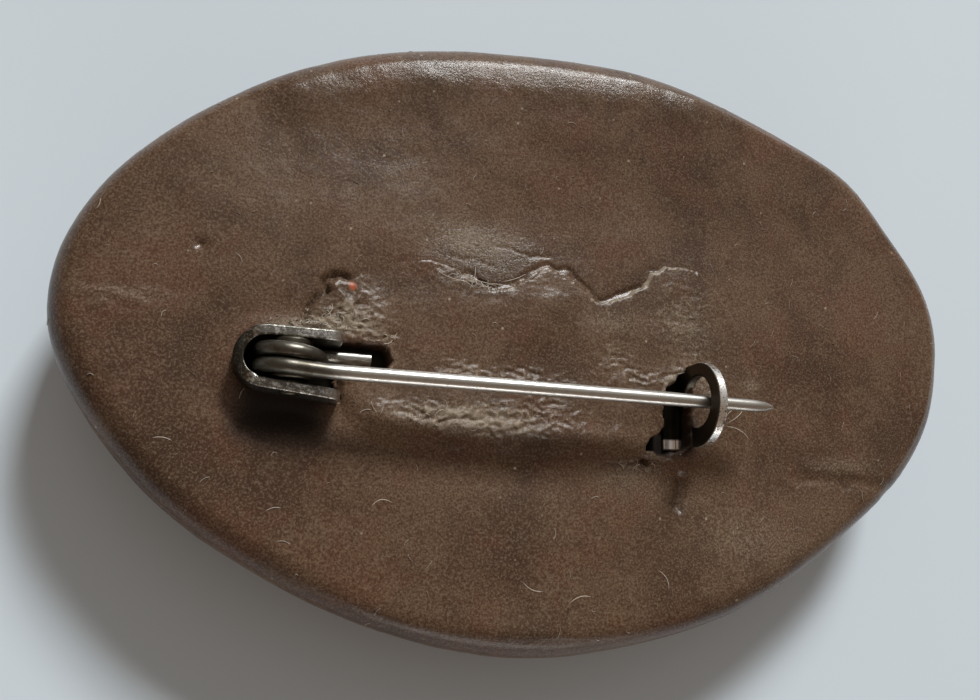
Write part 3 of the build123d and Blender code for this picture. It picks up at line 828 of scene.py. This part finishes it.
class BROOCH_OT_clay_cover(bpy.types.Operator):
    """Makes the clay pressed over the bar, with its torn edge, open round the wire's tail and the catch"""

    bl_idname = "brooch.clay_cover"
    bl_label = "Clay cover"

    def execute(self, context):
        look = context.scene.brooch_clay
        cell = look.cover_cell / MM
        thick = look.cover_thick / MM
        rim = softened(closed(COVER_RIM), 2)
        low, high = rim[:, :2].min(0) - 1.0, rim[:, :2].max(0) + 1.0
        xs, ys = np.arange(low[0], high[0], cell), np.arange(low[1], high[1], cell)
        flat = np.stack(np.meshgrid(xs, ys), 2).reshape(-1, 2)
        points = np.column_stack([flat + HINGE, np.full(len(flat), BACK)])
        depth, place = depth_in(flat, rim[:, :2])
        lip, slope, pale = (np.interp(place, np.arange(len(rim)), rim[:, column]) for column in (2, 3, 4))
        ragged = np.clip(lip / 0.15, 0, 1)
        wander = waves(points, 1.1, look.seed + 20) + 0.8 * waves(points, 0.42, look.seed + 21)
        depth += look.ragged / MM * ragged * wander
        inner = np.clip(depth, 0, None)
        rise = lip * (1 - np.exp(-inner / 0.06)) + (thick - lip) * ease(inner / slope) ** 0.8
        rise = np.where(depth < 0, np.maximum(depth * (0.15 + 5 * lip), -0.45), rise)
        surface = BACK + clay_relief(points, look.seed) + clay_marks(flat)
        top = surface + rise + 0.03 * waves(points, 3.2, look.seed + 30) * ease(depth / 1.5)
        crinkled = spotted(flat, ROUGH_SPOTS)
        folds = 0.6 - np.minimum(abs(waves(points * (0.55, 1.0, 1.0), 0.7, look.seed + 31)), 1.2)
        fine = 0.09 * folds + 0.022 * waves(points, 0.36, look.seed + 32)
        top += fine * (0.06 + crinkled)
        room, hollow, pit = finding_room(flat)
        slot, _ = depth_in(flat, softened(closed(TAIL_SLOT), 1))
        nick = 0.06 * waves(points, 0.6, look.seed + 40)
        sunk = np.maximum(ease((slot + nick) / 0.22 + 0.6), ease((hollow + nick) / 0.26 + 0.5))
        top += (BAR_LEVEL - top) * sunk - pit
        # Pale along the torn edge: crumbled clay, and a painted highlight where the edge faces the light.
        torn = 0.45 * np.exp(-inner / 0.9) * (0.75 + 0.25 * waves(points, 1.6, look.seed + 50))
        broken = np.clip(pale + 0.4 * (1 - pale) * waves(points, 1.2, look.seed + 51), 0, 1)
        torn = pale * np.maximum(torn, broken * np.exp(-(((depth - 0.06) / 0.12) ** 2)))
        # Scuffs, and painted sheen where the clay faces the light.
        torn = np.maximum(torn, 0.5 * spotted(flat, SCUFF_AND_SHEEN_SPOTS))
        # Painted highlights: pale on the crests of the crinkles.
        torn += 0.4 * crinkled * ease((folds - 0.15) / 0.4)
        x, y = flat.T
        crumbled = ((y > 0.3) | (y < -3.1)) * (x < 24.9)
        torn += 0.6 * np.exp(-(((hollow + 0.25) / 0.2) ** 2)) * crumbled
        torn += 0.4 * np.exp(-(((slot + 0.2) / 0.2) ** 2)) * (x > 5.4)
        # Painted shade in the tail's slot and the catch's hollow, under the catch and beside the ear.
        sooty = np.maximum(ease((slot + 0.1) / 0.2), ease((hollow + 0.15) / 0.3))
        by_catch = np.exp(-(((x - 25.6) / 1.1) ** 4) - (((y + 1.9) / 1.3) ** 4))
        by_ear = np.exp(-(((x - 2.7) / 0.35) ** 2) - (((y + 1.25) / 0.5) ** 2))
        sooty = np.maximum(sooty, np.maximum(0.9 * by_catch, 0.8 * by_ear))
        deep = ease((np.maximum(room + 0.35, hollow + 0.9)) / 0.2)
        under = surface - 0.65 + (BAR_LEVEL - 0.12 - surface + 0.65) * deep
        under = np.minimum(under, top - 0.02)
        kept = (depth > -0.5).reshape(len(ys), len(xs))
        used, faces = np.unique(shell_faces(kept), return_inverse=True)
        faces = faces.reshape(-1, 4)
        body = np.concatenate([np.column_stack([points[:, :2], level]) for level in (top, under)])[used]
        finish = bpy.data.materials["pressed_clay"]
        piece = make_piece("clay_cover", body, faces, finish, "brooch", ["clay_patch"])
        paint(
            piece, torn=np.clip(np.tile(torn, 2)[used], 0, 1), crinkled=np.tile(crinkled, 2)[used],
            sooty=np.tile(sooty, 2)[used], frayed=spotted(body[:, :2] - HINGE, FRAYED_SPOTS),
        )
        return {"FINISHED"}


class BROOCH_OT_finding(bpy.types.Operator):
    """Makes the steel base with its hinge and catch, the rivet and the pin wire"""

    bl_idname = "brooch.finding"
    bl_label = "Steel finding"

    def execute(self, context):
        look = context.scene.brooch_steel
        # The last number sets how dark the hinge is: the rivet wholly and the coil mostly, as painted shade;
        # the base's ears a little.
        for name, node, body, finish in (
            ("finding_base", "pin_base", "brooch", steel_finish("nickel_worn_and_painted_light", look, True, 0.2)),
            ("finding_rivet", "hinge_rivet", "brooch", steel_finish("dark_rivet", look, True, 1.0)),
            ("finding_wire", "pin_wire", "pin", steel_finish("drawn_wire", look, False, 0.92)),
        ):
            mesh = frame["nodes"][node].data.copy()
            mesh.name = name
            shell = bmesh.new()
            shell.from_mesh(mesh)
            bmesh.ops.remove_doubles(shell, verts=shell.verts, dist=1e-7)
            flat_angle = math.radians(0.5)
            bmesh.ops.dissolve_limit(shell, angle_limit=flat_angle, verts=shell.verts, edges=shell.edges)
            shell.to_mesh(mesh)
            shell.free()
            if node == "pin_wire":
                blunted(mesh)
            mesh.shade_smooth()
            piece = bpy.data.objects.new(name, mesh)
            context.scene.collection.objects.link(piece)
            if node != "pin_wire":
                rounding = piece.modifiers.new("edges", "BEVEL")
                rounding.width = look.edge
                rounding.segments = 2
                rounding.use_clamp_overlap = False
                rounding.limit_method = "ANGLE"
                rounding.angle_limit = math.radians(40)
            mesh.set_sharp_from_angle(angle=math.radians(40))
            place_piece(piece, finish, body, [node])
        return {"FINISHED"}


def blunted(mesh):
    """Rounds the end of the wire's point, which is worn blunt."""
    spots = np.empty(3 * len(mesh.vertices))
    mesh.vertices.foreach_get("co", spots)
    spots = spots.reshape(-1, 3) / MM
    tip = spots[:, 0].max()
    part = (spots[:, 0] - (tip - POINT_LONG)) / POINT_LONG
    middle = np.array([HINGE[1], ARM_LEVEL])
    away = spots[:, 1:] - middle
    radius = np.hypot(*away.T)
    ends = (part > 0) & (radius > 0.01)
    wanted = np.maximum(POINT_R * np.sqrt(np.clip(1 - part[ends] ** 3, 0, 1)), BLUNT_R)
    spots[ends, 1:] = middle + away[ends] * (wanted / radius[ends])[:, None]
    mesh.vertices.foreach_set("co", (spots * MM).ravel())
    mesh.update()


def petal_points(number, steps, node):
    """Sculpted petal: cupped, with a groove down its middle and veins that fan out from its foot."""
    turn = math.radians(PETAL_FIRST + PETAL_STEP * number)
    axis = np.array([math.cos(turn), math.sin(turn)])
    across = np.array([-axis[1], axis[0]])
    middle = axis * PETAL_MIDDLE
    rim = [(1.3, 0.0, 0.0)]
    for tilt in np.radians(np.linspace(0, 90, 8)[1:]):
        rim.append((1.3 - 1.3 * math.sin(tilt), 1.5 - 1.5 * math.cos(tilt), tilt))
    rim += [(0.0, 2.3, math.pi / 2), (0.05, 3.15, math.pi / 2)]
    (part, angle, inset, level, tilt), faces = closed_disc(steps, rim)
    reach = outline(node, 2.4, middle)(angle)
    radius = part * (reach - inset)
    flat = np.stack([np.cos(angle), np.sin(angle)], 1) * radius[:, None]
    along, aside = (flat + middle) @ axis, flat @ across
    points = np.column_stack([flat + middle, level])
    cup = np.clip(1 - (radius / np.maximum(reach - 1.0, 0.1)) ** 2, 0, 1)
    groove = 0.45 * np.exp(-((aside / 0.45) ** 2)) * ease((16.6 - along) / 6)
    fan = np.arctan2(aside, along - 2.0)
    veins = 0.07 * (1 + np.cos(fan * 46)) * ease((along - 6.5) / 4)
    sunk = (0.75 * cup + groove + veins * cup**0.4 + 0.03 * waves(points, 1.6, 60 + number)) * (level < 0.01)
    points[:, 2] = np.clip(points[:, 2] + sunk, 0.0, None)
    return points, faces[:, ::-1]


class BROOCH_OT_flower(bpy.types.Operator):
    """Makes the flower on the front: five petals, a domed centre and the beads on it"""

    bl_idname = "brooch.flower"
    bl_label = "Flower"

    def execute(self, context):
        look = context.scene.brooch_flower
        finish = petal_finish("painted_petal", look.petal, look.petal_foot, 18.0 * MM)
        for number in range(5):
            node = f"petal_{number + 1}"
            points, faces = petal_points(number, look.petal_steps, node)
            make_piece(f"flower_petal_{number + 1}", points, faces, finish, "brooch", [node])
        finish = petal_finish("painted_centre", look.centre, look.petal_foot, 8.0 * MM)
        rim = [(1.4, 0.7, 0.0)]
        for tilt in np.radians(np.linspace(0, 90, 8)[1:]):
            rim.append((1.4 - 1.4 * math.sin(tilt), 2.2 - 1.5 * math.cos(tilt), tilt))
        rim += [(0.0, 2.6, math.pi / 2), (0.05, 3.15, math.pi / 2)]
        (part, angle, inset, level, _), faces = closed_disc(30, rim)
        radius = part * (outline("flower_centre", 2.4)(angle) - inset)
        points = np.column_stack([radius * np.cos(angle), radius * np.sin(angle), level])
        points[:, 2] -= 0.18 * np.clip(1 - radius / 4.4, 0, 1) * (level < 0.71)
        piece = make_piece(
            "flower_middle", points, faces[:, ::-1], finish, "brooch", ["flower_centre"]
        )
        beads = bead_tree(look, finish)
        bead_piece = grown(piece, beads, "flower_beads", {
            "Radius": look.bead, "Spacing": look.bead_gap, "Seed": look.seed,
        })
        place_piece(bead_piece, finish, "brooch")
        return {"FINISHED"}


def new_tree(name, inputs):
    """A Geometry Nodes tree with a geometry input and output and the named inputs, and its graph."""
    tree = bpy.data.node_groups.new(name, "GeometryNodeTree")
    tree.interface.new_socket("Geometry", in_out="INPUT", socket_type="NodeSocketGeometry")
    for label, kind in inputs:
        tree.interface.new_socket(label, in_out="INPUT", socket_type=kind)
    tree.interface.new_socket("Geometry", in_out="OUTPUT", socket_type="NodeSocketGeometry")
    graph = Graph(tree)
    entry = graph.add("NodeGroupInput").socket.node
    given = {socket.name: Signal(graph, socket) for socket in entry.outputs if socket.name}
    return tree, graph, given


def end_tree(graph, geometry, finish):
    """Ends a tree with its instances made real and its finish set."""
    real = graph.add("GeometryNodeRealizeInstances", None, {"Geometry": geometry})
    done = graph.add("GeometryNodeSetMaterial", None, {"Geometry": real, "Material": finish})
    graph.add("NodeGroupOutput", None, {0: done})


def looking(graph, operation, limit):
    """Whether the upright part of a face's normal is more or less than a limit."""
    normal = graph.add("GeometryNodeInputNormal")
    upright = graph.add("ShaderNodeSeparateXYZ", None, {"Vector": normal}, "Z")
    settings = {"data_type": "FLOAT", "operation": operation}
    return graph.add("FunctionNodeCompare", settings, {0: upright, 1: limit})


def bead_tree(look, finish):
    """Beads set apart on the faces that look down."""
    tree, graph, given = new_tree("beads_on_centre", [
        ("Radius", "NodeSocketFloat"), ("Spacing", "NodeSocketFloat"), ("Seed", "NodeSocketInt"),
    ])
    down = looking(graph, "LESS_THAN", -0.8)
    points = graph.add("GeometryNodeDistributePointsOnFaces", {"distribute_method": "POISSON"}, {
        "Mesh": given["Geometry"], "Selection": down, "Distance Min": given["Spacing"], "Density Max": 4.0e7,
        "Seed": given["Seed"],
    }, "Points")
    bead = graph.add("GeometryNodeMeshIcoSphere", None, {
        "Radius": given["Radius"], "Subdivisions": 3,
    }, "Mesh")
    bead = graph.add("GeometryNodeSetShadeSmooth", None, {"Geometry": bead})
    size = graph.add("FunctionNodeRandomValue", {"data_type": "FLOAT"}, {
        "Min": 0.8, "Max": 1.0, "Seed": given["Seed"],
    }, "Value")
    set_beads = graph.add("GeometryNodeInstanceOnPoints", None, {
        "Points": points, "Instance": bead, "Scale": size,
    })
    end_tree(graph, set_beads, finish)
    return tree


def lint_tree(look, finish):
    """Short curved fibres on the faces that look up, more and stouter where frayed and none where shade is
    painted.
    """
    tree, graph, given = new_tree("lint_on_clay", [
        ("Density", "NodeSocketFloat"), ("Frayed density", "NodeSocketFloat"), ("Length", "NodeSocketFloat"),
        ("Radius", "NodeSocketFloat"), ("Seed", "NodeSocketInt"),
    ])
    kind = "GeometryNodeInputNamedAttribute"
    frayed, sooty = (
        graph.add(kind, {"data_type": "FLOAT"}, {"Name": name}, "Attribute") for name in ("frayed", "sooty")
    )
    density = (given["Density"] + frayed * given["Frayed density"]) * (1 - sooty)
    up = looking(graph, "GREATER_THAN", 0.25)
    points = graph.add("GeometryNodeDistributePointsOnFaces", None, {
        "Mesh": given["Geometry"], "Selection": up, "Density": density, "Seed": given["Seed"],
    }, "Points")
    facing = Signal(graph, points.socket.node.outputs["Rotation"])
    half = given["Length"] * 0.5
    start = graph.add("ShaderNodeCombineXYZ", None, {"X": half * -1.0})
    middle = graph.add("ShaderNodeCombineXYZ", None, {"X": half * 0.1, "Y": half * 0.45, "Z": half * 0.12})
    end = graph.add("ShaderNodeCombineXYZ", None, {"X": half})
    arc = graph.add("GeometryNodeCurveQuadraticBezier", None, {
        "Resolution": 8, "Start": start, "Middle": middle, "End": end,
    })
    ring = graph.add("GeometryNodeCurvePrimitiveCircle", None, {
        "Resolution": 4, "Radius": given["Radius"],
    }, "Curve")
    fibre = graph.add("GeometryNodeCurveToMesh", None, {
        "Curve": arc, "Profile Curve": ring, "Fill Caps": True,
    })
    spin = graph.add("FunctionNodeRandomValue", {"data_type": "FLOAT"}, {
        "Min": 0.0, "Max": 2 * math.pi, "Seed": given["Seed"],
    }, "Value")
    turn = graph.add("ShaderNodeCombineXYZ", None, {"Z": spin})
    turned = graph.add("FunctionNodeRotateRotation", {"rotation_space": "LOCAL"}, {
        "Rotation": facing, "Rotate By": turn,
    })
    wide = graph.add("FunctionNodeRandomValue", {"data_type": "FLOAT_VECTOR"}, {
        "Min": (0.15, 0.15, 1.0), "Max": (0.7, 0.8, 1.0), "Seed": given["Seed"] + 1.0,
    }, "Value")
    stout = graph.add("ShaderNodeCombineXYZ", None, {
        "X": 1 - frayed * 0.4, "Y": 1 + frayed * 0.8, "Z": 1 + frayed * 1.6,
    })
    wide = graph.add("ShaderNodeVectorMath", {"operation": "MULTIPLY"}, {0: wide, 1: stout}, "Vector")
    laid = graph.add("GeometryNodeInstanceOnPoints", None, {
        "Points": points, "Instance": fibre, "Rotation": turned, "Scale": wide,
    })
    end_tree(graph, laid, finish)
    return tree


def grown(base, tree, name, inputs):
    """Runs a tree on a copy of a piece and returns the result as a plain mesh."""
    carrier = bpy.data.objects.new(name, base.data.copy())
    bpy.context.scene.collection.objects.link(carrier)
    modifier = carrier.modifiers.new(name, "NODES")
    modifier.node_group = tree
    for item in tree.interface.items_tree:
        if item.in_out == "INPUT" and item.name in inputs:
            modifier[item.identifier] = inputs[item.name]
    carrier.update_tag()
    ready = carrier.evaluated_get(bpy.context.evaluated_depsgraph_get())
    mesh = bpy.data.meshes.new_from_object(ready)
    mesh.name = name
    carrier.modifiers.remove(modifier)
    carrier.data = mesh
    return carrier


def hair_mesh(radius, steps=9):
    """Tubes with four sides along the listed hairs, which bow up from just over the cover."""
    points, faces = [], []
    part = np.linspace(0, 1, steps)
    for hair in HAIRS:
        start, end = np.array([hair.x, hair.y]), np.array([hair.end_x, hair.end_y])
        way = (end - start) / np.linalg.norm(end - start)
        aside = np.array([-way[1], way[0]])
        bow = 4 * part * (1 - part)
        flat = start + np.outer(part, end - start) + np.outer(bow * hair.side, aside)
        level = HAIR_LEVEL + hair.rise * bow
        for column in range(steps):
            thin = radius * (0.35 + 0.65 * bow[column] ** 0.3)
            for turn in range(4):
                angle = math.pi / 2 * turn
                spot = flat[column] + HINGE + aside * thin * math.cos(angle)
                points.append((*spot, level[column] + thin * math.sin(angle)))
        first = len(points) - 4 * steps
        for column in range(steps - 1):
            for turn in range(4):
                low, high = first + 4 * column, first + 4 * column + 4
                faces.append((low + turn, low + (turn + 1) % 4, high + (turn + 1) % 4, high + turn))
        faces.append((first + 3, first + 2, first + 1, first))
        faces.append(tuple(first + 4 * steps - 4 + turn for turn in range(4)))
    return points, faces


class BROOCH_OT_lint(bpy.types.Operator):
    """Lays short pale fibres and a few longer hairs on the clay's back"""

    bl_idname = "brooch.lint"
    bl_label = "Lint"

    def execute(self, context):
        look = context.scene.brooch_lint
        finish = fibre_finish(look)
        tree = lint_tree(look, finish)
        for number, (name, base) in enumerate((("clay_lint", "clay_slab"), ("cover_lint", "clay_cover"))):
            piece = grown(bpy.data.objects[base], tree, name, {
                "Density": look.fibres * 1e4, "Frayed density": look.frayed * 1e4, "Length": look.fibre_long,
                "Radius": look.fibre_r, "Seed": look.seed + number,
            })
            place_piece(piece, finish, "brooch")
        points, faces = hair_mesh(look.fibre_r / MM)
        make_piece("clay_hairs", points, faces, finish, "brooch")
        return {"FINISHED"}


class BROOCH_OT_stage(bpy.types.Operator):
    """Makes the pale floor, the soft lights and the camera"""

    bl_idname = "brooch.stage"
    bl_label = "Stage"

    def execute(self, context):
        look = context.scene.brooch_stage
        scene = context.scene
        mesh = bpy.data.meshes.new("floor")
        side = 4.0
        corners = [(-side, -side, 0), (side, -side, 0), (side, side, 0), (-side, side, 0)]
        mesh.from_pydata(corners, [], [(0, 1, 2, 3)])
        floor = bpy.data.objects.new("floor", mesh)
        scene.collection.objects.link(floor)
        mesh.materials.append(floor_finish(look))
        world = bpy.data.worlds.new("soft_room")
        world.use_nodes = True
        graph = Graph(world.node_tree)
        way = graph.add("ShaderNodeTexCoord", None, None, "Generated")
        facing = graph.add(
            "ShaderNodeVectorMath", {"operation": "DOT_PRODUCT"}, {0: way, 1: (0.17, 0.637, 0.752)}, "Value"
        )
        sky = graph.blend(graph.ramp(facing, 0.55, 1.0), look.dim, look.glow)
        light = graph.add("ShaderNodeBackground", None, {"Color": sky, "Strength": 1.0})
        graph.add("ShaderNodeOutputWorld", None, {"Surface": light})
        scene.world = world
        for name, place, size, watts, shade in (
            ("window", (0.515, 1.922, 1.342), (0.56, 0.46), 67.0, (0.97, 0.98, 0.97)),
            ("low_card", (0.1, -0.6, 0.12), (0.5, 0.05), 0.85, (1.0, 0.98, 0.97)),
        ):
            lamp = bpy.data.lights.new(name, "AREA")
            lamp.shape = "RECTANGLE"
            lamp.size, lamp.size_y = size
            lamp.energy = watts
            lamp.color = shade
            thing = bpy.data.objects.new(name, lamp)
            thing.location = place
            aim = Vector((0.0, 0.0, 0.005)) - Vector(place)
            thing.rotation_euler = aim.to_track_quat("-Z", "Y").to_euler()
            scene.collection.objects.link(thing)
        camera = bpy.data.cameras.new("camera")
        camera.lens = look.lens
        camera.sensor_width = 36.0
        camera.clip_start = 0.001
        camera.clip_end = 10.0
        holder = bpy.data.objects.new("camera", camera)
        holder.location = look.place
        holder.rotation_euler = look.turn
        scene.collection.objects.link(holder)
        scene.camera = holder
        scene.view_settings.view_transform = "Standard"
        return {"FINISHED"}


PIECES = (
    BROOCH_OT_clay_slab, BROOCH_OT_clay_cover, BROOCH_OT_finding, BROOCH_OT_flower, BROOCH_OT_lint,
    BROOCH_OT_stage,
)
SETTINGS = {
    "brooch_clay": BroochClay, "brooch_steel": BroochSteel, "brooch_flower": BroochFlower,
    "brooch_lint": BroochLint, "brooch_stage": BroochStage,
}


class BROOCH_PT_pieces(bpy.types.Panel):
    """Lists the brooch's pieces and their settings"""

    bl_label = "Brooch"
    bl_idname = "BROOCH_PT_pieces"
    bl_space_type = "VIEW_3D"
    bl_region_type = "UI"
    bl_category = "Brooch"

    def draw(self, context):
        for piece in PIECES:
            self.layout.operator(piece.bl_idname)
        for name, group in SETTINGS.items():
            box = self.layout.box()
            for setting in group.__annotations__:
                box.prop(getattr(context.scene, name), setting)


def register():
    for name, group in SETTINGS.items():
        bpy.utils.register_class(group)
        setattr(bpy.types.Scene, name, bpy.props.PointerProperty(type=group))
    for kind in (*PIECES, BROOCH_PT_pieces):
        bpy.utils.register_class(kind)


def unregister():
    for kind in (BROOCH_PT_pieces, *reversed(PIECES)):
        bpy.utils.unregister_class(kind)
    for name, group in reversed(SETTINGS.items()):
        delattr(bpy.types.Scene, name)
        bpy.utils.unregister_class(group)


def main():
    register()
    bpy.ops.brooch.clay_slab()
    bpy.ops.brooch.clay_cover()
    bpy.ops.brooch.finding()
    bpy.ops.brooch.flower()
    bpy.ops.brooch.lint()
    bpy.ops.brooch.stage()


if __name__ == "__main__":
    main()
